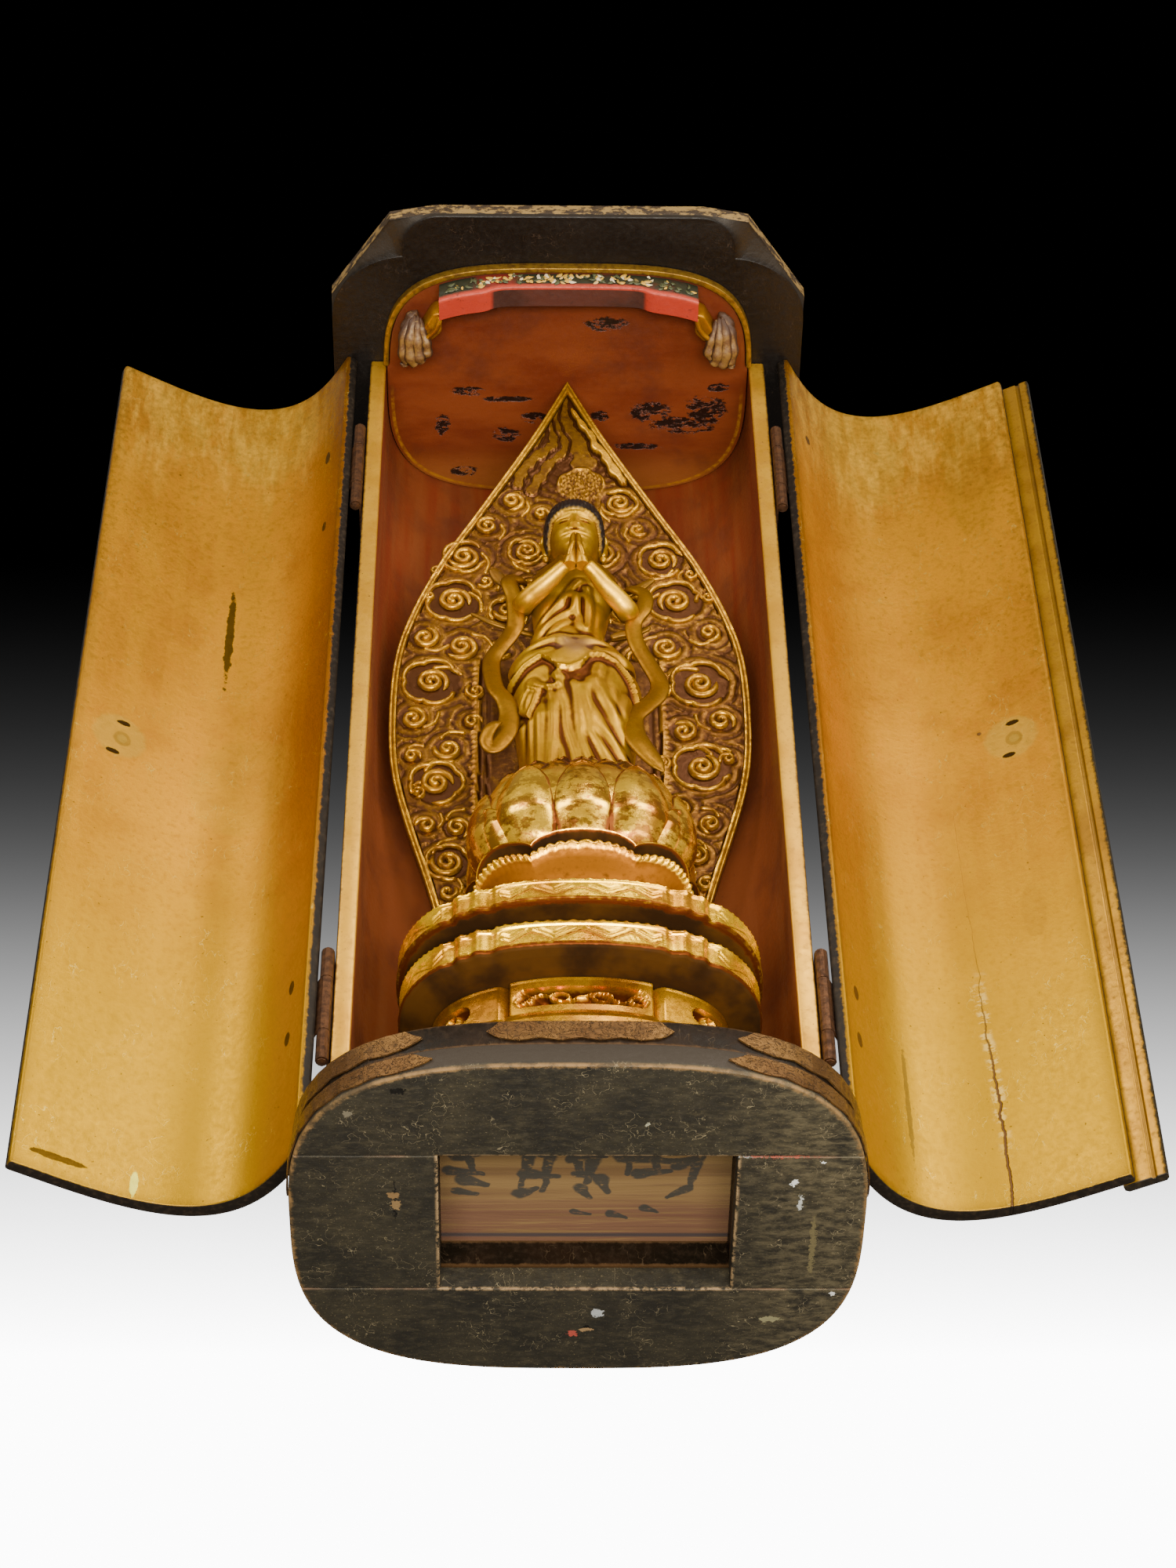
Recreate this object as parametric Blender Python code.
"""Portable household altar: a lacquered box shrine with two bowed doors that swing open
on a gilt figure standing on a lotus pedestal in front of a leaf-shaped halo board.

Metres, +Z up, front towards -Y. The origin is on the plane of the base's underside, at the
middle of the open shrine's footprint, which is a little to the right of the case's middle.
Every plan outline of the box is a superellipse, so the box, its doors, the door stops,
the floor and the ceiling all follow one pair of half sizes."""

import math

import bmesh
import bpy
import numpy as np
from mathutils import Matrix, Vector

# Driving sizes of the box, in metres
BODY_HALF_WIDTH = 0.0750
BODY_HALF_DEPTH = 0.0575
BODY_HEIGHT = 0.4054
PLAN_POWER = 3.5
SIDE_WALL = 0.0060
BACK_WALL = 0.0048
FRONT_EDGE_Y = -0.0075
FOOTPRINT_MIDDLE_X = 0.0035
GAP = 0.0003

# Base: four joined planks below, one moulded rim above, a recess through both
BASE_HALF_WIDTH = 0.0845
BASE_HALF_DEPTH = 0.0675
BASE_POWER = 3.1
PLINTH_HEIGHT = 0.0087
RIM_HEIGHT = 0.0098
RIM_INSET = 0.0008
EDGE_ROUNDING = 0.0009
RECESS_WIDTH = 0.0867
RECESS_DEPTH = 0.0590
RECESS_SHIFT_X = 0.0026
FLOOR_THICKNESS = 0.0040

# Doors, their stops and the strip on the right door's free edge
DOOR_THICKNESS = 0.0044
DOOR_END_CLEARANCE = 0.0006
DOOR_STOP_CLEARANCE = 0.0006
LEFT_OPENING = math.radians(151.0)
RIGHT_OPENING = math.radians(153.5)
MEETING_X = 0.0012
STRIP_WIDTH = 0.0140
STRIP_OVERLAP = 0.0092
STRIP_THICKNESS = 0.0030
LIP_THICKNESS = 0.0020
LIP_HEIGHT = 0.0038
CEILING_THICKNESS = 0.0027

# Hinges
HINGE_OUT = 0.0024
HINGE_HEIGHT = 0.0470
KNUCKLE_RADIUS = 0.0021
KNUCKLE_BORE = 0.0010
PIN_RADIUS = 0.0008
END_KNUCKLE = 0.0120
LEAF_THICKNESS = 0.0008
LEAF_LENGTH = 0.0125
UPPER_HINGE_BELOW_TOP = 0.0665
LOWER_HINGE_ABOVE_FLOOR = 0.0627

# Roof
ROOF_HALF_WIDTH = 0.0890
ROOF_HALF_DEPTH = 0.0725
ROOF_LOBE_HALF_WIDTH = 0.0623
ROOF_WING_HALF_DEPTH = 0.0548
ROOF_EDGE = 0.0058
ROOF_FLARE = 0.0026
ROOF_RISE = 0.0090

# Inside fittings at the head of the opening
VALANCE_HALF_WIDTH = 0.0483
VALANCE_HEIGHT = 0.0085
VALANCE_DEPTH = 0.0090
VALANCE_DROP = 0.0026
BRACKET_WIDTH = 0.0060
BRACKET_LENGTH = 0.0120
NOSING_LENGTH = 0.0165
NOSING_RADIUS = 0.0056

# Pedestal, from the floor up: half width, half depth and height of each stage
PEDESTAL_X = 0.0015
PEDESTAL_Y = -0.0005
FOOT_HALF = (0.0560, 0.0390)
FOOT_HEIGHT = 0.0213
DRUM_HALF = (0.0500, 0.0290)
DRUM_HEIGHT = 0.0310
TIER_B_HALF = (0.0565, 0.0375)
TIER_B_HEIGHT = 0.0178
TIER_A_HALF = (0.0575, 0.0410)
TIER_A_HEIGHT = 0.0110
SEAT_X = 0.0024
SEAT_Y = -0.0105
SEAT_DEPTH_SHARE = 0.82
SEAT_POWER = 2.5
SAUCER_HALF_WIDTH = 0.0372
SAUCER_HEIGHT = 0.0145
LEAF_PLATE_HALF_WIDTH = 0.0368
LEAF_PLATE_HEIGHT = 0.0055
LOTUS_HALF_WIDTH = 0.0350
LOTUS_HEIGHT = 0.0420
PLATE_LOBES = 8
LOTUS_PETALS = 10

# Figure and halo board
FIGURE_HEIGHT = 0.1650
FIGURE_X = 0.0016
FIGURE_Y = -0.0075
SCARF_HALF_WIDTH = 0.0030
SCARF_HALF_THICKNESS = 0.0011
HALO_HEIGHT = 0.3175
HALO_HALF_WIDTH = 0.0634
HALO_THICKNESS = 0.0042
HALO_LEAN = math.radians(6.8)
HALO_FOOT_Y = 0.0360
HALO_RIM = 0.0030
HALO_RELIEF = 0.0016

# Heights that follow from the sizes above
RIM_LOW = PLINTH_HEIGHT + GAP
BASE_TOP = RIM_LOW + RIM_HEIGHT
FLOOR_LOW = BASE_TOP + GAP
FLOOR_TOP = FLOOR_LOW + FLOOR_THICKNESS
BODY_TOP = FLOOR_LOW + BODY_HEIGHT
ROOF_LOW = BODY_TOP + GAP
CEILING_LOW = BODY_TOP - CEILING_THICKNESS
DOOR_LOW = FLOOR_LOW + DOOR_END_CLEARANCE
DOOR_TOP = BODY_TOP - DOOR_END_CLEARANCE
HINGE_X = BODY_HALF_WIDTH + HINGE_OUT
INNER_HALF_WIDTH = BODY_HALF_WIDTH - SIDE_WALL
INNER_HALF_DEPTH = BODY_HALF_DEPTH - BACK_WALL
STOP_HALF_WIDTH = BODY_HALF_WIDTH - DOOR_THICKNESS - DOOR_STOP_CLEARANCE
STOP_HALF_DEPTH = BODY_HALF_DEPTH - DOOR_THICKNESS - DOOR_STOP_CLEARANCE


def clear_scene():
    for thing in list(bpy.data.objects):
        bpy.data.objects.remove(thing)


def material(name, colour, roughness, metallic=0.0):
    """A Principled material, made once for each name."""
    if name in bpy.data.materials:
        return bpy.data.materials[name]
    made = bpy.data.materials.new(name)
    made.use_nodes = True
    shader = made.node_tree.nodes["Principled BSDF"]
    shader.inputs["Base Color"].default_value = (*colour, 1.0)
    shader.inputs["Roughness"].default_value = roughness
    shader.inputs["Metallic"].default_value = metallic
    made.diffuse_color = (*colour, 1.0)
    return made


def black_lacquer():
    return material("black_lacquer", (0.022, 0.019, 0.016), 0.42)


def amber_lacquer():
    return material("amber_lacquer", (0.30, 0.085, 0.020), 0.38, 0.25)


def gold_lacquer():
    return material("gold_lacquer", (0.50, 0.29, 0.075), 0.42, 0.35)


def gold_leaf():
    return material("gold_leaf", (0.72, 0.45, 0.13), 0.34, 0.85)


def red_lacquer():
    return material("red_lacquer", (0.50, 0.055, 0.040), 0.45)


def bare_wood():
    return material("bare_wood", (0.50, 0.30, 0.15), 0.75)


def aged_brass():
    return material("aged_brass", (0.28, 0.16, 0.075), 0.45, 0.8)


def aged_white():
    return material("aged_white", (0.60, 0.47, 0.33), 0.6)


def make_object(name, mesh, finish, location=(0, 0, 0), parent=None, smooth=False):
    made = bpy.data.objects.new(name, mesh)
    bpy.context.scene.collection.objects.link(made)
    if finish is not None:
        if not mesh.materials:
            mesh.materials.append(finish)
    made.location = location
    made.parent = parent
    if smooth:
        mesh.shade_smooth()
        mesh.set_sharp_from_angle(angle=math.radians(40))
    return made


def helper(name, mesh):
    """A cutter or an added shape that a Boolean reads and that is no piece itself."""
    made = bpy.data.objects.new(name, mesh)
    bpy.context.scene.collection.objects.link(made)
    made.hide_render = True
    made.display_type = "WIRE"
    return made


def boolean(target, other, operation, crossing=False):
    """Crossing says that the other's own shells run into one another."""
    step = target.modifiers.new(operation.lower(), "BOOLEAN")
    step.operation = operation
    step.solver = "EXACT"
    step.use_self = crossing
    step.object = other


def finish_mesh(name, shape):
    bmesh.ops.remove_doubles(shape, verts=shape.verts[:], dist=1e-6)
    bmesh.ops.recalc_face_normals(shape, faces=shape.faces[:])
    mesh = bpy.data.meshes.new(name)
    shape.to_mesh(mesh)
    shape.free()
    return mesh


def superellipse(half_x, half_y, angle, power=PLAN_POWER):
    """The point at a parameter angle on |x/half_x|^power + |y/half_y|^power = 1."""
    c, s = math.cos(angle), math.sin(angle)
    return (
        half_x * math.copysign(abs(c) ** (2 / power), c),
        half_y * math.copysign(abs(s) ** (2 / power), s),
    )


def plan_width(half_x, half_y, y, power=PLAN_POWER):
    """Half width of the superellipse at this y."""
    return half_x * max(0.0, 1 - abs(y / half_y) ** power) ** (1 / power)


def whole_plan(half_x, half_y, steps, power=PLAN_POWER):
    return [
        superellipse(half_x, half_y, 2 * math.pi * k / steps, power) for k in range(steps)
    ]


def back_plan(half_x, half_y, start_y, steps):
    """Right to left round the back, from start_y in front of the middle."""
    edge = plan_width(half_x, half_y, start_y)
    arc = [superellipse(half_x, half_y, math.pi * k / steps) for k in range(steps + 1)]
    return [(edge, start_y), *arc, (-edge, start_y)]


def front_plan(half_x, half_y, start_y, steps):
    """Left to right round the front, from start_y in front of the middle."""
    edge = plan_width(half_x, half_y, start_y)
    first = math.asin(abs(start_y / half_y) ** (PLAN_POWER / 2))
    sweep = math.pi - 2 * first
    arc = [
        superellipse(half_x, half_y, math.pi + first + sweep * k / steps)
        for k in range(1, steps)
    ]
    return [(-edge, start_y), *arc, (edge, start_y)]


def add_prism(shape, outline, low, high):
    """Extrudes a plan outline from low to high."""
    base = shape.faces.new([shape.verts.new((x, y, low)) for x, y in outline])
    grown = bmesh.ops.extrude_face_region(shape, geom=[base])
    top = [v for v in grown["geom"] if isinstance(v, bmesh.types.BMVert)]
    bmesh.ops.translate(shape, verts=top, vec=(0, 0, high - low))


def prism(name, outline, low, high):
    shape = bmesh.new()
    add_prism(shape, outline, low, high)
    return finish_mesh(name, shape)


def add_loft(shape, loops, closed=False):
    """Skins matching closed loops of points in turn, and caps the two ends."""
    rings = [[shape.verts.new(p) for p in loop] for loop in loops]
    count = len(rings[0])
    pairs = list(zip(rings, rings[1:]))
    if closed:
        pairs.append((rings[-1], rings[0]))
    for low, high in pairs:
        for k in range(count):
            after = (k + 1) % count
            shape.faces.new((low[k], low[after], high[after], high[k]))
    if not closed:
        shape.faces.new(rings[0][::-1])
        shape.faces.new(rings[-1])


def loft(name, loops):
    shape = bmesh.new()
    add_loft(shape, loops)
    return finish_mesh(name, shape)


def add_box(shape, low, high):
    outline = [(low[0], low[1]), (high[0], low[1]), (high[0], high[1]), (low[0], high[1])]
    add_prism(shape, outline, low[2], high[2])


def box(name, low, high):
    shape = bmesh.new()
    add_box(shape, low, high)
    return finish_mesh(name, shape)


def cut_flat(shape, point, normal):
    """Keeps the side that the normal points away from, and closes the cut."""
    everything = shape.verts[:] + shape.edges[:] + shape.faces[:]
    cut = bmesh.ops.bisect_plane(
        shape, geom=everything, plane_co=point, plane_no=normal, clear_outer=True
    )
    edges = [e for e in cut["geom_cut"] if isinstance(e, bmesh.types.BMEdge)]
    bmesh.ops.edgeloop_fill(shape, edges=edges)


def moulded_plan(half_x, half_y, low, high, rounding, steps):
    """Loops of a block with softened lower and upper edges."""
    levels = (
        (rounding, low),
        (0.0, low + rounding),
        (0.0, high - rounding),
        (rounding, high),
    )
    return [
        [(x, y, z) for x, y in whole_plan(half_x - inset, half_y - inset, steps, BASE_POWER)]
        for inset, z in levels
    ]


def recess_edges():
    half = RECESS_WIDTH / 2
    return RECESS_SHIFT_X - half, RECESS_SHIFT_X + half


def build_plinth():
    """The four planks of the underside: front, back, and one each side of the recess."""
    left, right = recess_edges()
    seam = RECESS_DEPTH / 2
    half_gap = GAP / 2
    planks = {
        "plinth_front": [((0, -seam - half_gap, 0), (0, 1, 0))],
        "plinth_back": [((0, seam + half_gap, 0), (0, -1, 0))],
        "plinth_left": [
            ((0, -seam + half_gap, 0), (0, -1, 0)),
            ((0, seam - half_gap, 0), (0, 1, 0)),
            ((left, 0, 0), (1, 0, 0)),
        ],
        "plinth_right": [
            ((0, -seam + half_gap, 0), (0, -1, 0)),
            ((0, seam - half_gap, 0), (0, 1, 0)),
            ((right, 0, 0), (-1, 0, 0)),
        ],
    }
    for name, cuts in planks.items():
        shape = bmesh.new()
        loops = moulded_plan(
            BASE_HALF_WIDTH, BASE_HALF_DEPTH, 0.0, PLINTH_HEIGHT, EDGE_ROUNDING, 56
        )
        add_loft(shape, loops)
        for point, normal in cuts:
            cut_flat(shape, point, normal)
        make_object(name, finish_mesh(name, shape), black_lacquer())


def build_base_rim():
    left, right = recess_edges()
    loops = moulded_plan(
        BASE_HALF_WIDTH - RIM_INSET,
        BASE_HALF_DEPTH - RIM_INSET,
        RIM_LOW,
        BASE_TOP,
        EDGE_ROUNDING,
        56,
    )
    rim = make_object("base_rim", loft("base_rim", loops), black_lacquer())
    low = (left, -RECESS_DEPTH / 2, RIM_LOW - RIM_HEIGHT)
    high = (right, RECESS_DEPTH / 2, BASE_TOP + RIM_HEIGHT)
    boolean(rim, helper("recess_cutter", box("recess_cutter", low, high)), "DIFFERENCE")


def fitting_outline(half_span, height, waves):
    """A metal fitting laid flat: straight upper edge, cusped ends and waved lower edge."""
    points = [(-half_span * 0.86, height / 2), (half_span * 0.86, height / 2)]
    points += [(half_span * 0.93, height * 0.22), (half_span, 0.0)]
    points += [(half_span * 0.93, -height * 0.22)]
    for k in range(2 * waves + 1):
        along = 1 - 2 * k / (2 * waves)
        depth = 0.5 if k % 2 else 0.36
        points.append((half_span * 0.86 * along, -height * depth))
    points += [(-half_span * 0.93, -height * 0.22), (-half_span, 0.0)]
    points += [(-half_span * 0.93, height * 0.22)]
    return points


def wrap_fitting(name, half_x, half_y, middle, half_span, z, height, waves):
    """Bends a flat fitting round the base's side, its middle at this parameter angle."""
    table = [superellipse(half_x, half_y, middle + a, BASE_POWER) for a in fitting_sweep()]
    steps = np.hypot(*np.diff(np.array(table), axis=0).T)
    travel = np.concatenate([[0.0], np.cumsum(steps)])
    travel -= travel[len(table) // 2]
    shape = bmesh.new()
    outline = fitting_outline(half_span, height, waves)
    columns = sorted({round(u, 7) for u, _ in outline})
    columns = sorted(set(columns) | set(np.linspace(-half_span, half_span, 5)))
    rings = []
    for u in columns:
        top, bottom = fitting_edges(outline, u)
        x = float(np.interp(u, travel, [p[0] for p in table]))
        y = float(np.interp(u, travel, [p[1] for p in table]))
        normal = Vector((x / half_x**2, y / half_y**2, 0)).normalized()
        inner = Vector((x, y, 0)) + normal * GAP
        outer = inner + normal * FITTING_THICKNESS
        rings.append([(*inner[:2], z + bottom), (*outer[:2], z + bottom)])
        rings[-1] += [(*outer[:2], z + top), (*inner[:2], z + top)]
    add_loft(shape, rings)
    make_object(name, finish_mesh(name, shape), aged_brass())


FITTING_THICKNESS = 0.0005
FITTING_HEIGHT = 0.0074
LOWER_FITTING_HEIGHT = 0.0062


def fitting_sweep():
    return np.linspace(-0.9, 0.9, 181)


def fitting_edges(outline, u):
    """Upper and lower height of the fitting's outline at this distance along it."""
    crossings = []
    for (u0, v0), (u1, v1) in zip(outline, outline[1:] + outline[:1]):
        if min(u0, u1) <= u + 1e-9 and u - 1e-9 <= max(u0, u1) and abs(u1 - u0) > 1e-9:
            crossings.append(v0 + (v1 - v0) * (u - u0) / (u1 - u0))
    top, bottom = max(crossings), min(crossings)
    least = FITTING_THICKNESS / 2
    return max(top, bottom + least), bottom


def build_fittings():
    """Metal fittings on the rim's middle and front corners, and on the plinth's corners."""
    rim_x, rim_y = BASE_HALF_WIDTH - RIM_INSET, BASE_HALF_DEPTH - RIM_INSET
    rim_z = (RIM_LOW + BASE_TOP) / 2
    wrap_fitting(
        "fitting_centre", rim_x, rim_y, -math.pi / 2, 0.0265, rim_z, FITTING_HEIGHT, 4
    )
    corner = math.radians(57)
    for side, name in ((-1, "left"), (1, "right")):
        middle = -math.pi / 2 + side * corner
        wrap_fitting(
            f"fitting_rim_{name}", rim_x, rim_y, middle, 0.036, rim_z, FITTING_HEIGHT, 5
        )
        wrap_fitting(
            f"fitting_plinth_{name}",
            BASE_HALF_WIDTH,
            BASE_HALF_DEPTH,
            middle,
            0.040,
            PLINTH_HEIGHT / 2,
            LOWER_FITTING_HEIGHT,
            6,
        )


def build_shell():
    """The back and both side walls in one bent shell, open to the front."""
    outer = back_plan(BODY_HALF_WIDTH, BODY_HALF_DEPTH, FRONT_EDGE_Y, 32)
    inner = back_plan(INNER_HALF_WIDTH, INNER_HALF_DEPTH, FRONT_EDGE_Y, 32)
    mesh = prism("body_shell", outer + inner[::-1], FLOOR_LOW, BODY_TOP)
    make_object("body_shell", mesh, amber_lacquer(), smooth=True)


def board_plan(front_half_width, front_half_depth, clearance):
    """A floor or ceiling: it fits the shell behind and the door stops' line in front."""
    step = FRONT_EDGE_Y - GAP
    front = front_plan(front_half_width, front_half_depth, step, 24)
    back = back_plan(INNER_HALF_WIDTH - clearance, INNER_HALF_DEPTH - clearance, step, 24)
    return front + back


def build_floor_and_ceiling():
    floor = board_plan(STOP_HALF_WIDTH, STOP_HALF_DEPTH, GAP)
    make_object(
        "floor_board", prism("floor_board", floor, FLOOR_LOW, FLOOR_TOP), bare_wood()
    )
    clear = LIP_THICKNESS + GAP
    ceiling = board_plan(STOP_HALF_WIDTH - clear, STOP_HALF_DEPTH - clear, GAP)
    make_object(
        "ceiling_board",
        prism("ceiling_board", ceiling, CEILING_LOW, BODY_TOP),
        amber_lacquer(),
    )


def build_lip():
    """The curved stop under the roof that both doors close against."""
    start = FRONT_EDGE_Y - GAP
    outer = front_plan(STOP_HALF_WIDTH, STOP_HALF_DEPTH, start, 24)
    inner = front_plan(
        STOP_HALF_WIDTH - LIP_THICKNESS, STOP_HALF_DEPTH - LIP_THICKNESS, start, 24
    )
    mesh = prism("door_stop_lip", outer + inner[::-1], BODY_TOP - LIP_HEIGHT, BODY_TOP)
    make_object("door_stop_lip", mesh, gold_lacquer())


def quarter_points(centre_x, centre_y, radius, start, steps):
    """Points on a quarter arc, turning from the start angle through a right angle."""
    return [
        (
            centre_x + radius * math.cos(start + math.pi / 2 * k / steps),
            centre_y + radius * math.sin(start + math.pi / 2 * k / steps),
        )
        for k in range(steps + 1)
    ]


def roof_quadrant(steps):
    """Lobed outline and octagon of one quarter, point for point, from +X round to +Y."""
    wing_radius = 0.028
    lobe_radius = 0.014
    wing = quarter_points(
        ROOF_HALF_WIDTH - wing_radius, ROOF_WING_HALF_DEPTH - wing_radius, wing_radius, 0, steps
    )
    wing = [(max(x, ROOF_LOBE_HALF_WIDTH), y) for x, y in wing]
    lobe = quarter_points(
        ROOF_LOBE_HALF_WIDTH - lobe_radius, ROOF_HALF_DEPTH - lobe_radius, lobe_radius, 0, steps
    )
    side_corner = Vector((ROOF_HALF_WIDTH, 0.0365))
    front_corner = Vector((ROOF_HALF_WIDTH * 0.748, ROOF_HALF_DEPTH * 0.955))
    outer = [Vector((ROOF_HALF_WIDTH, wing[0][1]))]
    outer += [side_corner.lerp(front_corner, k / (steps - 1)) for k in range(steps)]
    front_end = Vector((lobe[-1][0], ROOF_HALF_DEPTH))
    outer += [front_corner.lerp(front_end, k / steps) for k in range(1, steps + 1)]
    lobed = wing + lobe[1:]
    lobed[-1] = (lobed[-1][0], ROOF_HALF_DEPTH)
    return lobed, [tuple(p) for p in outer]


def all_quarters(quarter):
    """Mirrors a quarter outline into a whole one, keeping its order."""
    upper = quarter + [(-x, y) for x, y in reversed(quarter)]
    return upper + [(-x, -y) for x, y in quarter] + [(x, -y) for x, y in reversed(quarter)]


def build_roof():
    """Lobed flat underside, flared corners, eight-sided edge and a low hipped top."""
    lobed, octagon = roof_quadrant(5)
    inner = [(x * 0.985, y * 0.985) for x, y in octagon]
    crown = [(x * 0.42, y * 0.42) for x, y in octagon]
    edge_low = ROOF_LOW + ROOF_FLARE
    edge_high = edge_low + ROOF_EDGE
    levels = (
        (lobed, ROOF_LOW),
        (octagon, edge_low),
        (octagon, edge_high),
        (inner, edge_high + 0.0006),
        (crown, edge_high + ROOF_RISE),
    )
    loops = [[(x, y, z) for x, y in all_quarters(plan)] for plan, z in levels]
    make_object("roof", loft("roof", loops), black_lacquer())


def door_outline(side):
    """Plan of a closed door about its hinge axis. Side is -1 for left and 1 for right."""
    start = FRONT_EDGE_Y - GAP
    free = MEETING_X + side * GAP / 2 + 0.0002 * side
    faces = []
    for inset in (0.0, DOOR_THICKNESS):
        half_x, half_y = BODY_HALF_WIDTH - inset, BODY_HALF_DEPTH - inset
        first = math.asin(abs(start / half_y) ** (PLAN_POWER / 2))
        count = 14
        arc = [
            superellipse(half_x, half_y, first + (math.pi / 2 - first) * (k / count) ** 1.15)
            for k in range(count)
        ]
        edge = [(side * x, -y) for x, y in arc]
        faces.append([(side * plan_width(half_x, half_y, start), start), *edge[1:], (free, -half_y)])
    outline = faces[0] + faces[1][::-1]
    return [(x - side * HINGE_X, y - FRONT_EDGE_Y) for x, y in outline]


def build_door(side, name, opening):
    """An empty on the hinge axis, turned to the open angle, carries the door."""
    pivot = bpy.data.objects.new(f"pivot_{name}", None)
    bpy.context.scene.collection.objects.link(pivot)
    pivot.location = (side * HINGE_X, FRONT_EDGE_Y, 0)
    pivot.rotation_euler = (0, 0, side * opening)
    mesh = prism(f"door_{name}", door_outline(side), DOOR_LOW, DOOR_TOP)
    make_object(f"door_{name}", mesh, gold_lacquer(), parent=pivot, smooth=True)
    return pivot


def build_strip(pivot):
    """The strip on the right door's free edge, which laps over the left door when shut."""
    right_edge = MEETING_X + STRIP_WIDTH - STRIP_OVERLAP
    left_edge = MEETING_X - STRIP_OVERLAP
    back = -BODY_HALF_DEPTH - GAP
    front = back - STRIP_THICKNESS
    chamfer = STRIP_THICKNESS * 0.35
    groove = 0.0008
    middle = left_edge + STRIP_OVERLAP * 0.45
    outline = [
        (left_edge, back),
        (left_edge, front + chamfer),
        (left_edge + chamfer, front),
        (right_edge - chamfer, front),
        (right_edge, front + chamfer),
        (right_edge, back),
        (middle + groove, back),
        (middle + groove, back - groove),
        (middle - groove, back - groove),
        (middle - groove, back),
    ]
    outline = [(x - HINGE_X, y - FRONT_EDGE_Y) for x, y in outline]
    mesh = prism("door_strip", outline, DOOR_LOW, DOOR_TOP)
    make_object("door_strip", mesh, black_lacquer(), parent=pivot)
    build_latch_plate(pivot, left_edge, right_edge, front)


def build_latch_plate(pivot, left_edge, right_edge, front):
    """The worn metal plate that is left of the latch, on the front of the strip."""
    middle = Vector(((left_edge + right_edge) / 2, front - GAP))
    half = STRIP_WIDTH * 0.30
    height = 0.030
    z = DOOR_LOW + (DOOR_TOP - DOOR_LOW) * 0.735
    rings = []
    for along, width in ((-1, 0.4), (-0.8, 1), (-0.3, 0.85), (0.3, 0.85), (0.8, 1), (1, 0.4)):
        level = z + along * height / 2
        corners = [(-half * width, 0), (half * width, 0)]
        corners += [(half * width, -0.0006), (-half * width, -0.0006)]
        rings.append(
            [
                (middle.x + u - HINGE_X, middle.y + v - FRONT_EDGE_Y, level)
                for u, v in corners
            ]
        )
    make_object("latch_plate", loft("latch_plate", rings), aged_brass(), parent=pivot)


def add_tube(shape, radius, bore, low, high, sides):
    """A ring of metal along Z: four loops skinned into one closed wall."""
    loops = []
    for r, z in ((bore, low), (radius, low), (radius, high), (bore, high)):
        turn = [2 * math.pi * k / sides for k in range(sides)]
        loops.append([(r * math.cos(a), r * math.sin(a), z) for a in turn])
    add_loft(shape, loops, closed=True)


def hinge_meshes():
    """Fixed leaf with two end knuckles, door leaf with the middle one, and the pin.
    They are made for the left side, about the hinge axis, with the door shut."""
    sides = 10
    leaf_low = HINGE_OUT - GAP - LEAF_THICKNESS
    leaf_high = HINGE_OUT - GAP
    plates = {}
    spans = {
        "fixed": ((0, END_KNUCKLE), (HINGE_HEIGHT - END_KNUCKLE, HINGE_HEIGHT)),
        "door": ((END_KNUCKLE + GAP, HINGE_HEIGHT - END_KNUCKLE - GAP),),
    }
    for kind, knuckles in spans.items():
        reach = LEAF_LENGTH if kind == "fixed" else -LEAF_LENGTH
        shape = bmesh.new()
        step = math.copysign(GAP, reach)
        for low, high in knuckles:
            near, far = sorted((step, reach))
            add_box(shape, (leaf_low, near, low), (leaf_high, far, high))
        leaf = helper(f"hinge_{kind}_leaf", finish_mesh(f"hinge_{kind}_leaf", shape))
        shape = bmesh.new()
        for low, high in knuckles:
            add_tube(shape, KNUCKLE_RADIUS, KNUCKLE_BORE, low, high, sides)
        tube = helper(f"hinge_{kind}_tube", finish_mesh(f"hinge_{kind}_tube", shape))
        boolean(leaf, tube, "UNION")
        if kind == "fixed":
            near, far = KNUCKLE_RADIUS + GAP, LEAF_LENGTH
            bar_low = (leaf_low, near, END_KNUCKLE / 2)
            bar_high = (leaf_high, far, HINGE_HEIGHT - END_KNUCKLE / 2)
            bar = helper("hinge_fixed_bar", box("hinge_fixed_bar", bar_low, bar_high))
            boolean(leaf, bar, "UNION")
        bpy.context.view_layer.update()
        graph = bpy.context.evaluated_depsgraph_get()
        plates[kind] = bpy.data.meshes.new_from_object(leaf.evaluated_get(graph))
    profile = (
        (0.0, -0.0010),
        (KNUCKLE_RADIUS * 0.8, -0.0006),
        (KNUCKLE_RADIUS * 0.8, -GAP),
        (PIN_RADIUS, -GAP),
        (PIN_RADIUS, HINGE_HEIGHT + GAP),
        (KNUCKLE_RADIUS * 0.8, HINGE_HEIGHT + GAP),
        (KNUCKLE_RADIUS * 0.8, HINGE_HEIGHT + 0.0006),
        (0.0, HINGE_HEIGHT + 0.0010),
    )
    shape = bmesh.new()
    line = [shape.verts.new((r, 0, z)) for r, z in profile]
    edges = [shape.edges.new(pair) for pair in zip(line, line[1:])]
    bmesh.ops.spin(
        shape, geom=line + edges, cent=(0, 0, 0), axis=(0, 0, 1), angle=2 * math.pi, steps=8
    )
    plates["pin"] = finish_mesh("hinge_pin", shape)
    return plates


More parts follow.
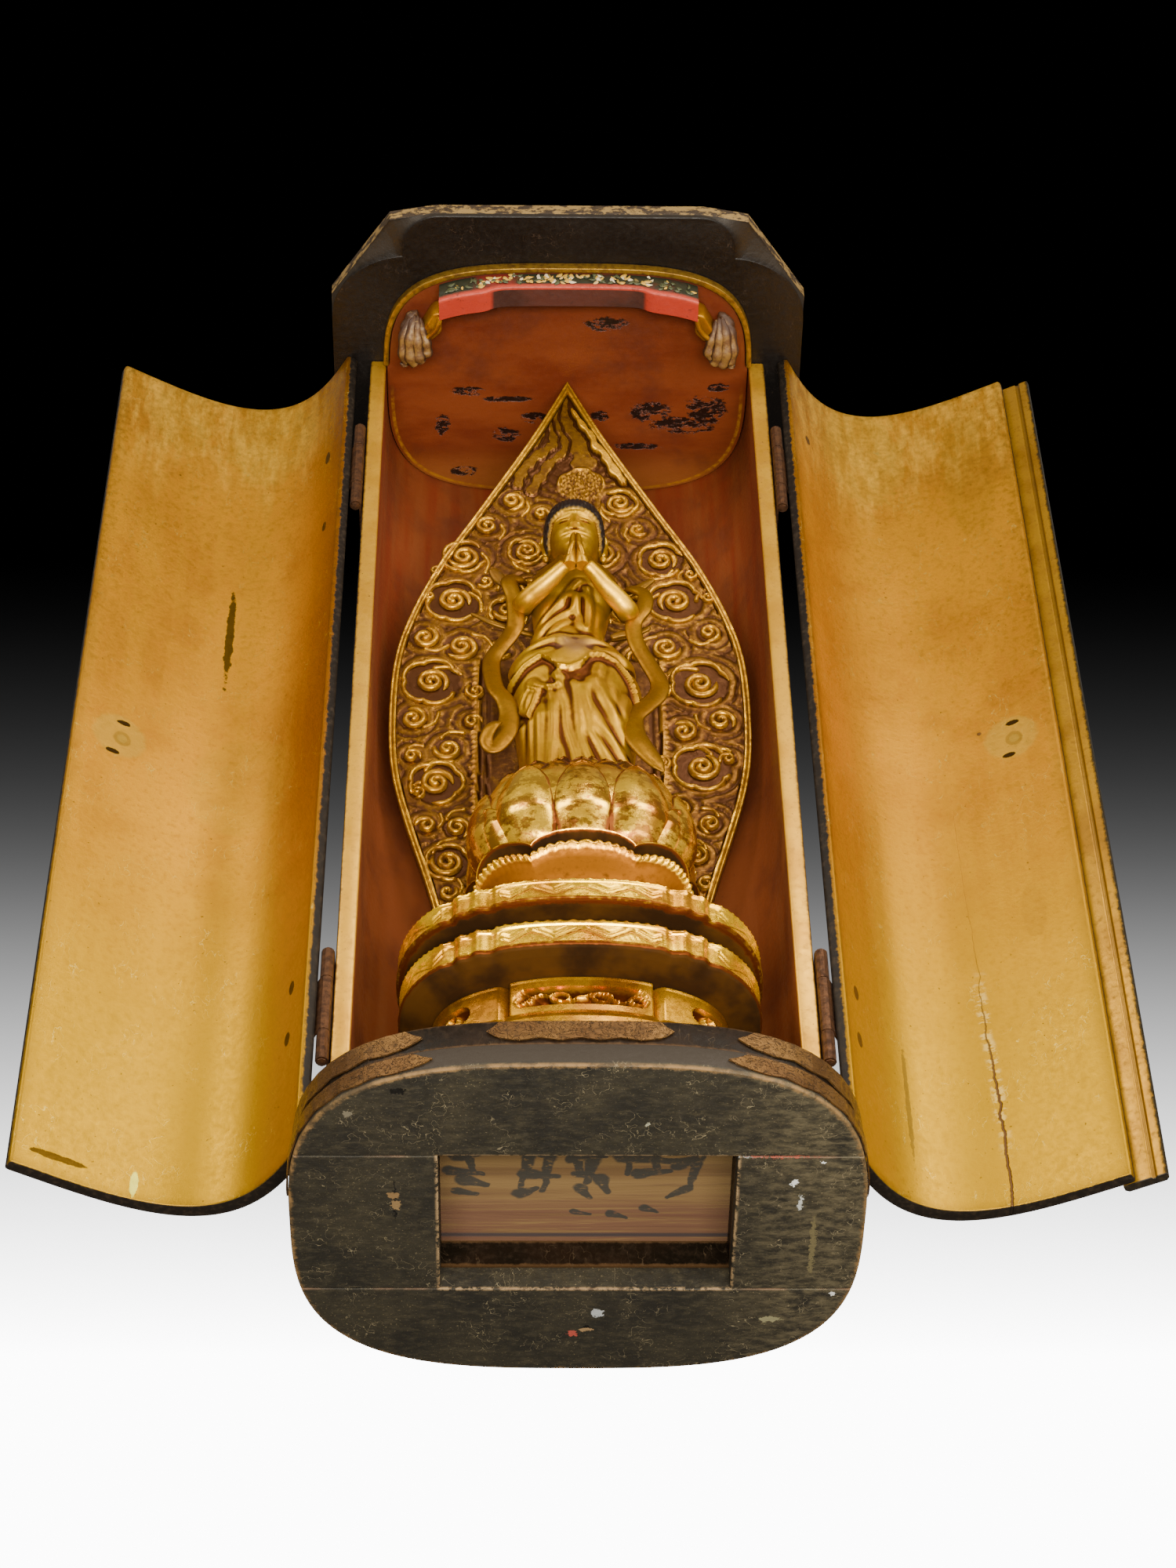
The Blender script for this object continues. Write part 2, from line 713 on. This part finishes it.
def build_hinges(pivots):
    """Two hinges a side. The right ones are the left ones turned over about Y."""
    plates = hinge_meshes()
    lower = FLOOR_LOW + LOWER_HINGE_ABOVE_FLOOR
    upper = BODY_TOP - UPPER_HINGE_BELOW_TOP
    for side, name in ((-1, "left"), (1, "right")):
        turned_over = Matrix.Rotation(math.pi if side > 0 else 0.0, 4, "Y")
        for height, place in ((lower, "lower"), (upper, "upper")):
            z = height + side * HINGE_HEIGHT / 2
            for kind, mesh in plates.items():
                label = f"hinge_{place}_{name}_{kind}"
                piece = make_object(label, mesh, aged_brass())
                if kind == "door":
                    piece.parent = pivots[name]
                    piece.matrix_basis = Matrix.Translation((0, 0, z)) @ turned_over
                else:
                    place_at = Matrix.Translation((side * HINGE_X, FRONT_EDGE_Y, z))
                    piece.matrix_basis = place_at @ turned_over


def build_valance():
    """Carved beam across the head of the opening, its underside raised in the middle."""
    room = LIP_THICKNESS + 3 * GAP
    half_x, half_y = STOP_HALF_WIDTH - room, STOP_HALF_DEPTH - room
    top = CEILING_LOW - GAP
    low = top - VALANCE_HEIGHT
    rings = []
    for k in range(17):
        x = VALANCE_HALF_WIDTH * (2 * k / 16 - 1)
        front = -plan_width(half_y, half_x, x)
        back = front + VALANCE_DEPTH
        rise = 0.5 - 0.5 * math.tanh((abs(x) - VALANCE_HALF_WIDTH * 0.60) / 0.0025)
        bottom = low - VALANCE_DROP * (1 - rise)
        rings.append([(x, front, bottom), (x, back, bottom), (x, back, top), (x, front, top)])
    beam = make_object("valance", loft("valance", rings), red_lacquer())
    shape = bmesh.new()
    count = 9
    for k in range(count):
        x = VALANCE_HALF_WIDTH * 0.93 * (2 * k / (count - 1) - 1)
        z = low + VALANCE_HEIGHT * (0.62 if k % 2 else 0.36)
        front = -plan_width(half_y, half_x, x)
        tilt = 0.5 if k % 2 else -0.5
        add_leaf(shape, Vector((x, front, z)), 0.0042, 0.0018, 0.0008, tilt)
    leaves = helper("valance_leaves", finish_mesh("valance_leaves", shape))
    boolean(beam, leaves, "UNION", crossing=True)


def add_leaf(shape, centre, length, width, height, tilt):
    """A small raised leaf, a six-cornered lozenge with a ridge, standing off a -Y face."""
    c, s = math.cos(tilt), math.sin(tilt)
    flat = ((-length, 0), (-length / 3, -width), (length / 3, -width))
    flat += ((length, 0), (length / 3, width), (-length / 3, width))
    turned = [(u * c - v * s, u * s + v * c) for u, v in flat]
    ring = [shape.verts.new(centre + Vector((u, height, v))) for u, v in turned]
    crest = [shape.verts.new(centre + Vector((u * 0.55, -height, v * 0.1))) for u, v in turned]
    for k in range(6):
        after = (k + 1) % 6
        shape.faces.new((ring[k], ring[after], crest[after], crest[k]))
    shape.faces.new(ring[::-1])
    shape.faces.new(crest)


def build_brackets():
    """Gilt arms at the valance's ends, and the pale carved nosings beyond them."""
    top = CEILING_LOW - GAP
    low = top - VALANCE_HEIGHT - VALANCE_DROP
    room = LIP_THICKNESS + 3 * GAP
    front = -plan_width(STOP_HALF_DEPTH - room, STOP_HALF_WIDTH - room, VALANCE_HALF_WIDTH)
    front += VALANCE_DEPTH + GAP
    for side, name in ((-1, "left"), (1, "right")):
        near = VALANCE_HALF_WIDTH - BRACKET_WIDTH * 0.1
        far = near + BRACKET_WIDTH
        x0, x1 = sorted((side * near, side * far))
        mesh = box(
            f"bracket_{name}", (x0, front, low + 0.001), (x1, front + BRACKET_LENGTH, top)
        )
        make_object(f"bracket_{name}", mesh, gold_leaf())
        build_nosing(side, name, far + GAP, top)


def build_nosing(side, name, near, top):
    """A curled scroll head: a tube that swells, bends forward and down, and ends rolled."""
    rings = []
    count = 9
    start = Vector((side * (near + NOSING_RADIUS * 0.86), -0.0330, top - NOSING_RADIUS * 1.05))
    for k in range(count):
        t = k / (count - 1)
        bend = Vector((side * 0.0006 * math.sin(math.pi * t), NOSING_LENGTH * t, -0.0050 * t * t))
        centre = start + bend
        swell = (0.55, 0.8, 0.72, 0.95, 0.82, 1.0, 0.85, 0.9, 0.45)[k]
        radius = NOSING_RADIUS * swell * 0.84
        ring = []
        for j in range(8):
            a = 2 * math.pi * j / 8
            ring.append(centre + Vector((radius * math.cos(a), 0, radius * 1.12 * math.sin(a))))
        rings.append([tuple(p) for p in ring])
    make_object(f"nosing_{name}", loft(f"nosing_{name}", rings), aged_white(), smooth=True)


def flute(angle):
    """Depth, from 0 to 1, of the upright flutes that part a tier's front from its sides."""
    turn = abs(math.remainder(angle - math.pi / 2, math.pi))
    near = min(abs(turn - math.radians(30.0)), abs(turn - math.radians(37.5)))
    return max(0.0, 1 - near / math.radians(4.5))


def tier_loop(half, inset, z, flute_depth=0.0012, steps=48):
    """One level of a pedestal stage: an ellipse with four pairs of upright flutes."""
    loop = []
    for k in range(steps):
        a = 2 * math.pi * k / steps
        cut = inset + flute_depth * flute(a)
        x, y = superellipse(half[0] - cut, half[1] - cut, a, 2.3)
        loop.append((PEDESTAL_X + x, PEDESTAL_Y + y, z))
    return loop


def build_stage(name, half, low, profile, finish):
    """A pedestal stage from (inset, height above its underside) pairs."""
    loops = [tier_loop(half, inset, low + up) for inset, up in profile]
    return make_object(name, loft(name, loops), finish)


def build_pedestal():
    """Foot, pierced drum and two moulded tiers, stacked. It returns the top's height."""
    z = FLOOR_TOP + GAP
    foot = (
        (0.0, 0.0),
        (0.0, FOOT_HEIGHT * 0.42),
        (0.0050, FOOT_HEIGHT * 0.50),
        (0.0095, FOOT_HEIGHT),
    )
    build_stage("pedestal_foot", FOOT_HALF, z, foot, gold_leaf())
    z += FOOT_HEIGHT + GAP
    rail = DRUM_HEIGHT * 0.50
    drum_profile = (
        (0.0, 0.0),
        (0.0, rail - 0.0035),
        (0.0022, rail),
        (0.0045, rail + 0.0010),
        (0.0045, DRUM_HEIGHT),
    )
    drum = build_stage("pedestal_drum", DRUM_HALF, z, drum_profile, gold_leaf())
    pierce_drum(drum, z)
    z += DRUM_HEIGHT + GAP
    tier_b = (
        (0.0090, 0.0),
        (0.0006, 0.0024),
        (0.0, 0.0040),
        (0.0004, TIER_B_HEIGHT * 0.72),
        (0.0030, TIER_B_HEIGHT * 0.80),
        (0.0090, TIER_B_HEIGHT),
    )
    build_stage("pedestal_tier_lower", TIER_B_HALF, z, tier_b, gold_leaf())
    z += TIER_B_HEIGHT + GAP
    tier_a = (
        (0.0030, 0.0),
        (0.0, 0.0012),
        (0.0006, TIER_A_HEIGHT * 0.86),
        (0.0022, TIER_A_HEIGHT),
    )
    build_stage("pedestal_tier_upper", TIER_A_HALF, z, tier_a, gold_leaf())
    return z + TIER_A_HEIGHT


def pierce_drum(drum, low):
    """Sunk panels in the drum's front and sides, where the openwork scrolls sit."""
    shape = bmesh.new()
    z0 = low + DRUM_HEIGHT * 0.62
    z1 = low + DRUM_HEIGHT * 0.86
    front = PEDESTAL_Y - DRUM_HALF[1]
    add_box(shape, (PEDESTAL_X - 0.0170, front - 0.001, z0), (PEDESTAL_X + 0.0170, front + 0.0075, z1))
    for side in (-1, 1):
        x0, x1 = sorted((side * 0.0300, side * 0.0390))
        add_box(
            shape,
            (PEDESTAL_X + x0, front - 0.001, z0),
            (PEDESTAL_X + x1, front + 0.0135, z1 - 0.001),
        )
    boolean(drum, helper("drum_windows", finish_mesh("drum_windows", shape)), "DIFFERENCE")


def lobed_ring(half_x, z, lobes, swell, lift, steps):
    """A level ring whose edge swells out and lifts at each lobe's middle, and which rises
    a little towards both sides."""
    ring = []
    for k in range(steps):
        a = 2 * math.pi * k / steps
        wave = abs(math.cos(lobes * (a + math.pi / 2) / 2)) ** 0.8
        grow = swell * (wave - 0.6)
        depth = half_x * SEAT_DEPTH_SHARE
        x, y = superellipse(half_x + grow, depth + grow, a, SEAT_POWER)
        side = 1.6 * lift * (x / half_x) ** 2
        ring.append((SEAT_X + x, SEAT_Y + y, z + lift * wave + side))
    return ring


def build_plates(low):
    """The beaded saucer and the waved leaf plate under the lotus. It returns their top."""
    steps = 40
    base = low + GAP
    rim = base + SAUCER_HEIGHT
    wide = SAUCER_HALF_WIDTH
    saucer = [
        lobed_ring(wide * 0.70, base, PLATE_LOBES, 0.0, 0.0, steps),
        lobed_ring(wide * 0.96, rim - 0.0044, PLATE_LOBES, 0.0026, 0.0010, steps),
        lobed_ring(wide, rim - 0.0032, PLATE_LOBES, 0.0032, 0.0014, steps),
        lobed_ring(wide * 0.95, rim - 0.0024, PLATE_LOBES, 0.0030, 0.0012, steps),
        lobed_ring(wide * 0.62, rim, PLATE_LOBES, 0.0, 0.0, steps),
    ]
    make_object("saucer", loft("saucer", saucer), gold_leaf())
    base = rim + GAP
    top = base + LEAF_PLATE_HEIGHT
    wide = LEAF_PLATE_HALF_WIDTH
    leaf = [
        lobed_ring(wide * 0.60, base, PLATE_LOBES, 0.0, 0.0, steps),
        lobed_ring(wide * 0.92, base + 0.0012, PLATE_LOBES, 0.0030, 0.0016, steps),
        lobed_ring(wide, base + 0.0024, PLATE_LOBES, 0.0038, 0.0022, steps),
        lobed_ring(wide * 0.92, base + 0.0028, PLATE_LOBES, 0.0030, 0.0018, steps),
        lobed_ring(wide * 0.66, top, PLATE_LOBES, 0.0, 0.0, steps),
    ]
    make_object("leaf_plate", loft("leaf_plate", leaf), gold_leaf())
    return top


def build_lotus(low):
    """The seat: a bowl of bulging petals with a second row of tips, and a flat pod."""
    base = low + GAP
    steps = 60
    rows = (
        (0.66, 0.00, 0.000, 0.0),
        (0.88, 0.10, 0.050, 0.0),
        (1.00, 0.32, 0.080, 0.0),
        (0.99, 0.55, 0.080, 0.0),
        (0.93, 0.76, 0.060, 0.040),
        (0.84, 0.90, 0.030, 0.110),
        (0.76, 0.85, 0.000, 0.0),
        (0.60, 0.92, 0.000, 0.0),
    )
    loops = []
    for share, up, bulge, tip in rows:
        ring = []
        for k in range(steps):
            a = 2 * math.pi * k / steps
            wave = abs(math.cos(LOTUS_PETALS * (a + math.pi / 2) / 2))
            half = LOTUS_HALF_WIDTH * (share + bulge * (wave**0.7 - 0.85))
            x, y = superellipse(half, half * SEAT_DEPTH_SHARE, a, SEAT_POWER)
            z = base + LOTUS_HEIGHT * (up + tip * (wave - 0.5))
            ring.append((SEAT_X + x, SEAT_Y + y, z))
        loops.append(ring)
    make_object("lotus_seat", loft("lotus_seat", loops), gold_leaf(), smooth=True)
    return base + LOTUS_HEIGHT * 0.92


def build_halo(low):
    """Leaf-shaped board, leaning forward, with a raised rim, cloud scrolls and flames.
    It is modelled upright about its foot and then tilted as an object."""
    outline = halo_outline(0.0)
    shape = bmesh.new()
    rings = []
    for y, inset in ((0.0, 0.0), (HALO_THICKNESS, 0.0)):
        rings.append([(x, y, z) for x, z in halo_outline(inset)])
    back = [shape.verts.new(p) for p in rings[1]]
    front = [shape.verts.new(p) for p in rings[0]]
    inner = [shape.verts.new((x, 0.0, z)) for x, z in halo_outline(HALO_RIM)]
    floor = [
        shape.verts.new((x, HALO_RELIEF, z)) for x, z in halo_outline(HALO_RIM + 0.0008)
    ]
    count = len(outline)
    for near, far in ((back, front), (front, inner), (inner, floor)):
        for k in range(count):
            after = (k + 1) % count
            shape.faces.new((near[k], near[after], far[after], far[k]))
    shape.faces.new(floor)
    shape.faces.new(back[::-1])
    halo = make_object("halo_board", finish_mesh("halo_board", shape), gold_leaf())
    halo.location = (0.0, HALO_FOOT_Y, low + GAP)
    halo.rotation_euler = (HALO_LEAN, 0, 0)
    scrolls = helper("halo_scrolls", scroll_mesh())
    scrolls.location = halo.location
    scrolls.rotation_euler = halo.rotation_euler
    boolean(halo, scrolls, "UNION", crossing=True)


def halo_half_width(share):
    """Half width of the leaf at a share of its height: a smooth curve through the shares
    of the widest half width that the outline has at these heights."""
    heights = (-0.15, 0.0, 0.19, 0.36, 0.47, 0.57, 0.68, 0.78, 0.90, 1.0, 1.1)
    widths = (0.20, 0.52, 0.74, 0.965, 1.0, 0.955, 0.77, 0.52, 0.22, 0.0, -0.2)
    k = max(1, min(len(heights) - 3, int(np.searchsorted(heights, share)) - 1))
    h = heights[k + 1] - heights[k]
    t = (share - heights[k]) / h
    slope0 = (widths[k + 1] - widths[k - 1]) / (heights[k + 1] - heights[k - 1]) * h
    slope1 = (widths[k + 2] - widths[k]) / (heights[k + 2] - heights[k]) * h
    rise = widths[k + 1] - widths[k]
    cubic = widths[k] + t * (slope0 + t * (3 * rise - 2 * slope0 - slope1))
    cubic += t**3 * (slope0 + slope1 - 2 * rise)
    return HALO_HALF_WIDTH * cubic


def halo_outline(inset):
    """The leaf's outline up the right side and down the left, set in by this much."""
    steps = 20
    right = []
    for k in range(steps):
        share = k / steps
        right.append((max(halo_half_width(share) - inset, 0.002), HALO_HEIGHT * share))
    right[0] = (right[0][0], inset)
    tip = (0.0, HALO_HEIGHT - inset * 1.9)
    return right + [tip] + [(-x, z) for x, z in reversed(right)]


def scroll_centres():
    """Cloud scrolls down each side of the board: (x, z, radius, way it curls)."""
    found = []
    rows = 7
    for k in range(rows):
        share = 0.17 + 0.57 * k / (rows - 1)
        room = halo_half_width(share) - HALO_RIM - 0.0015
        outer = 0.0098 if k % 2 else 0.0078
        for side in (-1, 1):
            found.append((side * (room - outer), HALO_HEIGHT * share, outer, side))
            inner = 0.0070
            x_in = room - 2 * outer - inner - 0.0010
            if k in (3, 5):
                found.append((side * x_in, HALO_HEIGHT * (share + 0.02), inner, -side))
    return found


def scroll_mesh():
    """Raised spiral ridges for the clouds, wavy ones for the flames, and two strips."""
    shape = bmesh.new()
    for x, z, radius, way in scroll_centres():
        path = []
        steps = 9
        for k in range(steps + 1):
            t = k / steps
            a = way * (0.6 + 2.7 * math.pi * t)
            r = radius * (1 - 0.80 * t)
            path.append((x + r * math.cos(a), z + r * math.sin(a)))
        add_ridge(shape, path, radius * 0.17, HALO_RELIEF * 1.05)
    top = HALO_HEIGHT * 0.945
    for side in (-1, 1):
        for row in range(2):
            path = []
            for k in range(6):
                t = k / 5
                spread = side * (0.0018 + 0.0125 * (row + 0.35) * t)
                sway = 0.0011 * math.sin(3.2 * math.pi * t + row) * t
                path.append((spread + sway, top - (0.058 - 0.006 * row) * t))
            add_ridge(shape, path, 0.0011, HALO_RELIEF)
    for side in (-1, 1):
        path = [(side * 0.0285, HALO_HEIGHT * s) for s in np.linspace(0.16, 0.50, 3)]
        add_ridge(shape, path, 0.0014, HALO_RELIEF)
    return finish_mesh("halo_scrolls", shape)


def add_ridge(shape, path, half, height):
    """A three-cornered ridge along a path on the board's sunk face."""
    rings = []
    for k, (x, z) in enumerate(path):
        ahead = path[min(k + 1, len(path) - 1)]
        behind = path[max(k - 1, 0)]
        along = Vector((ahead[0] - behind[0], ahead[1] - behind[1])).normalized()
        aside = Vector((-along.y, along.x)) * half
        base = HALO_RELIEF + 0.0006
        rings.append(
            [
                (x - aside.x, base, z - aside.y),
                (x + aside.x, base, z + aside.y),
                (x, HALO_RELIEF - height, z),
            ]
        )
    add_loft(shape, rings)


def figure_row(up, half_x, half_y, back, folds=0.0, lean=0.0):
    """One level of the figure, in millimetres, with drapery folds round it."""
    ring = []
    steps = 24
    for k in range(steps):
        a = 2 * math.pi * k / steps
        fold = folds * (math.cos(8 * a + lean) + 0.6 * math.cos(5 * a - lean))
        x, y = superellipse(half_x + fold, half_y + fold, a, 2.25)
        ring.append((x / 1000, (y + back) / 1000, up / 1000))
    return ring


def figure_body():
    """Skirt with hanging folds, sash, chest, shoulders and neck, from the hem up."""
    rows = (
        (0.0, 17.6, 12.0, 0.0, 0.8, 0.0),
        (12.0, 17.8, 12.5, 0.0, 0.8, 0.2),
        (28.0, 18.2, 13.0, 0.0, 0.8, 0.5),
        (45.0, 19.6, 13.5, -0.5, 0.7, 0.8),
        (60.0, 20.4, 14.0, -1.0, 0.6, 1.0),
        (72.0, 20.6, 14.0, -1.5, 0.4, 1.2),
        (79.0, 18.6, 13.0, -1.5, 0.2, 0.0),
        (82.0, 16.8, 12.2, -1.5, 0.3, 0.0),
        (85.0, 14.6, 11.2, -1.5, 0.0, 0.0),
        (93.0, 13.2, 10.2, -1.5, 0.2, 0.0),
        (106.0, 14.6, 10.0, -2.0, 0.2, 0.0),
        (118.0, 17.6, 9.6, -2.5, 0.0, 0.0),
        (125.0, 17.4, 8.6, -2.5, 0.0, 0.0),
        (130.0, 11.0, 7.0, -2.5, 0.0, 0.0),
        (133.0, 6.4, 6.2, -2.5, 0.0, 0.0),
        (139.0, 5.6, 5.8, -1.5, 0.0, 0.0),
    )
    return loft("figure", [figure_row(*row) for row in rows])


def figure_head():
    """Head and hair cap, as levels from the chin to the crown, in millimetres."""
    crown = FIGURE_HEIGHT * 1000
    rows = (
        (crown - 35.0, 2.6, 3.0, -7.0),
        (crown - 33.0, 5.8, 7.0, -4.5),
        (crown - 28.5, 8.4, 10.2, -2.0),
        (crown - 22.0, 9.6, 11.4, -0.6),
        (crown - 15.0, 10.0, 11.8, 0.0),
        (crown - 13.5, 10.7, 12.6, 0.2),
        (crown - 8.0, 10.0, 11.8, 0.4),
        (crown - 3.0, 7.0, 8.4, 0.8),
        (crown, 3.0, 3.6, 0.8),
    )
    shape = bmesh.new()
    loops = []
    for up, half_x, half_y, back in rows:
        ring = []
        for k in range(16):
            a = 2 * math.pi * k / 16
            low_nose = ((up - crown + 23.0) / 4.0) ** 2
            nose = 1.6 * math.exp(-low_nose) if k == 12 else 0.0
            x, y = superellipse(half_x, half_y, a, 2.1)
            ring.append((x / 1000, (y + back - nose) / 1000, up / 1000))
        loops.append(ring)
    add_loft(shape, loops)
    return finish_mesh("figure_head", shape)


def tube_along(shape, points, radii, flatten=1.0, sides=8):
    """A limb: rings square to its path, with a radius for each point."""
    rings = []
    points = [Vector(p) for p in points]
    for k, centre in enumerate(points):
        ahead = points[min(k + 1, len(points) - 1)]
        behind = points[max(k - 1, 0)]
        along = (ahead - behind).normalized()
        side = along.cross(Vector((0, 0, 1)))
        side = side.normalized() if side.length > 1e-3 else Vector((1, 0, 0))
        up = side.cross(along)
        ring = []
        for j in range(sides):
            a = 2 * math.pi * j / sides
            spot = side * math.cos(a) * radii[k] + up * math.sin(a) * radii[k] * flatten
            ring.append(tuple(centre + spot))
        rings.append(ring)
    add_loft(shape, rings)


def figure_arm(side):
    """Upper arm to the elbow, then the bare forearm raised to the joined hands."""
    path = (
        (14.5, -1.0, 124.0),
        (17.0, -2.5, 115.0),
        (17.0, -6.0, 105.0),
        (15.0, -10.5, 103.0),
        (8.5, -17.5, 110.0),
        (3.6, -21.5, 116.0),
        (2.2, -22.5, 120.0),
        (1.8, -22.8, 127.0),
        (1.4, -22.5, 133.5),
    )
    radii = (5.0, 5.2, 5.0, 4.4, 3.4, 2.7, 2.8, 2.8, 1.3)
    shape = bmesh.new()
    points = [(side * x / 1000, y / 1000, z / 1000) for x, y, z in path]
    tube_along(shape, points, [r / 1000 for r in radii])
    return finish_mesh(f"figure_arm_{side}", shape)


def scarf(side):
    """A ribbon that hangs from the elbow to the lotus: a flat strip that turns as it sways.
    Its points are millimetres out from the figure's middle and up from its hem."""
    left = (
        (20.5, 125.0, 0.5),
        (23.0, 114.0, 0.9),
        (19.8, 95.0, 1.0),
        (28.6, 82.0, 1.1),
        (30.4, 75.5, 1.1),
        (28.5, 63.0, 1.1),
        (22.8, 56.0, 1.2),
        (21.2, 47.0, 1.2),
        (23.5, 36.0, 1.1),
        (29.2, 29.0, 0.7),
    )
    right = (
        (20.5, 122.0, 0.5),
        (23.8, 101.0, 0.9),
        (20.6, 90.5, 1.0),
        (26.5, 76.0, 1.1),
        (29.7, 65.5, 1.1),
        (23.5, 54.5, 1.1),
        (17.8, 43.5, 1.2),
        (19.8, 29.0, 1.2),
        (28.6, 17.5, 0.7),
    )
    shape = bmesh.new()
    rings = []
    for k, (out, up, breadth) in enumerate(left if side < 0 else right):
        centre = Vector((side * out, -5.5, up)) / 1000
        turn = side * (0.35 + 0.35 * math.sin(1.1 * k))
        flat = Vector((math.cos(turn), math.sin(turn), 0.0))
        thick = Vector((-math.sin(turn), math.cos(turn), 0.0))
        half = SCARF_HALF_WIDTH * breadth
        ring = [
            centre - flat * half,
            centre - flat * half * 0.5 - thick * SCARF_HALF_THICKNESS,
            centre + flat * half * 0.5 - thick * SCARF_HALF_THICKNESS,
            centre + flat * half,
            centre + flat * half * 0.5 + thick * SCARF_HALF_THICKNESS,
            centre - flat * half * 0.5 + thick * SCARF_HALF_THICKNESS,
        ]
        rings.append([tuple(p) for p in ring])
    add_loft(shape, rings)
    return finish_mesh(f"scarf_{side}", shape)


def build_figure(low):
    """The standing figure, palms joined: body, head, arms and scarves, one carving."""
    place = (FIGURE_X, FIGURE_Y, low + GAP)
    figure = make_object("figure", figure_body(), gold_leaf(), location=place)
    for name, mesh in (
        ("figure_head", figure_head()),
        ("figure_arm_left", figure_arm(-1)),
        ("figure_arm_right", figure_arm(1)),
        ("scarf_left", scarf(-1)),
        ("scarf_right", scarf(1)),
    ):
        added = helper(name, mesh)
        added.location = place
        boolean(figure, added, "UNION")


def build():
    clear_scene()
    build_plinth()
    build_base_rim()
    build_fittings()
    build_shell()
    build_floor_and_ceiling()
    build_lip()
    build_roof()
    pivots = {
        "left": build_door(-1, "left", LEFT_OPENING),
        "right": build_door(1, "right", RIGHT_OPENING),
    }
    build_strip(pivots["right"])
    build_hinges(pivots)
    build_valance()
    build_brackets()
    pedestal_top = build_pedestal()
    plates_top = build_plates(pedestal_top)
    pod_top = build_lotus(plates_top)
    build_halo(pedestal_top)
    build_figure(pod_top)
    stand_on_origin()


def stand_on_origin():
    """Every piece and pivot hangs on one empty, which brings the footprint's middle to x = 0."""
    stand = bpy.data.objects.new("altar", None)
    bpy.context.scene.collection.objects.link(stand)
    stand.location = (-FOOTPRINT_MIDDLE_X, 0, 0)
    for thing in list(bpy.data.objects):
        if thing is not stand and thing.parent is None:
            thing.parent = stand


build()
